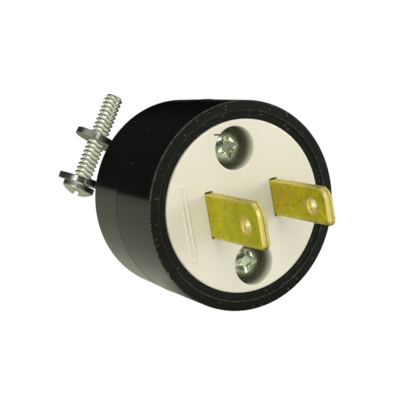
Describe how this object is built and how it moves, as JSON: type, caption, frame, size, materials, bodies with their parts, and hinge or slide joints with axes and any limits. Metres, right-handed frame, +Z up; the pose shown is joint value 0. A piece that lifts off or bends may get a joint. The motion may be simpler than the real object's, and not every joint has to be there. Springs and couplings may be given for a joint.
{
  "type": "two-blade electrical plug",
  "caption": "Round two-blade plug with a tapered black body, a cream dead-front face, folded brass blades and a screw-down cord clamp behind.",
  "frame": {"origin": "centre of the front face, midway between the blades", "axes": "+X right as seen from the front, +Y to the rear along the plug's axis, +Z up along the blades' width"},
  "size_m": [0.0418, 0.0497, 0.0381],
  "materials": {
    "black_body": "moulded, lightly worn gloss",
    "cream_face": "moulded gloss",
    "inner_block": "moulded, matt",
    "brass": "rolled, slightly tarnished",
    "zinc_screw": "zinc plated, dull",
    "silver_screw": "nickel plated",
    "brass_screw": "satin",
    "bright_plating": "bright nickel plating"
  },
  "bodies": {
    "plug_body": {"shell": "black_body", "face_insert": "cream_face", "terminal_block": "inner_block", "blade_neutral": "brass", "blade_line": "brass", "assembly_screw_upper": "zinc_screw", "assembly_screw_lower": "zinc_screw", "terminal_screw_neutral": "silver_screw", "terminal_screw_line": "brass_screw", "pressure_plate_neutral": "silver_screw", "pressure_plate_line": "brass_screw", "clamp_plate_fixed": "bright_plating"},
    "loose_plate": {"clamp_plate_moving": "bright_plating"},
    "left_screw": {"clamp_screw_left": "bright_plating"},
    "right_screw": {"clamp_screw_right": "bright_plating"}
  },
  "joints": [
    {"name": "plate_travel", "type": "slide", "parent": "plug_body", "child": "loose_plate", "axis": [0.5807, 0, 0.8141], "range_m": [-0.00437, 0.00119]},
    {"name": "left_screw_turn", "type": "hinge", "parent": "plug_body", "child": "left_screw", "pos_m": [-0.0136, 0.0291, 0.0097], "axis": [-0.5807, 0, -0.8141], "range_deg": [-1981, 541]},
    {"name": "right_screw_turn", "type": "hinge", "parent": "plug_body", "child": "right_screw", "pos_m": [0.0136, 0.0291, -0.0097], "axis": [-0.5807, 0, -0.8141], "range_deg": [-1981, 541]}
  ],
  "couplings": [
    {"joint": "left_screw_turn", "follows": "plate_travel", "rad_per_m": 7915.8},
    {"joint": "right_screw_turn", "follows": "plate_travel", "rad_per_m": 7915.8}
  ]
}
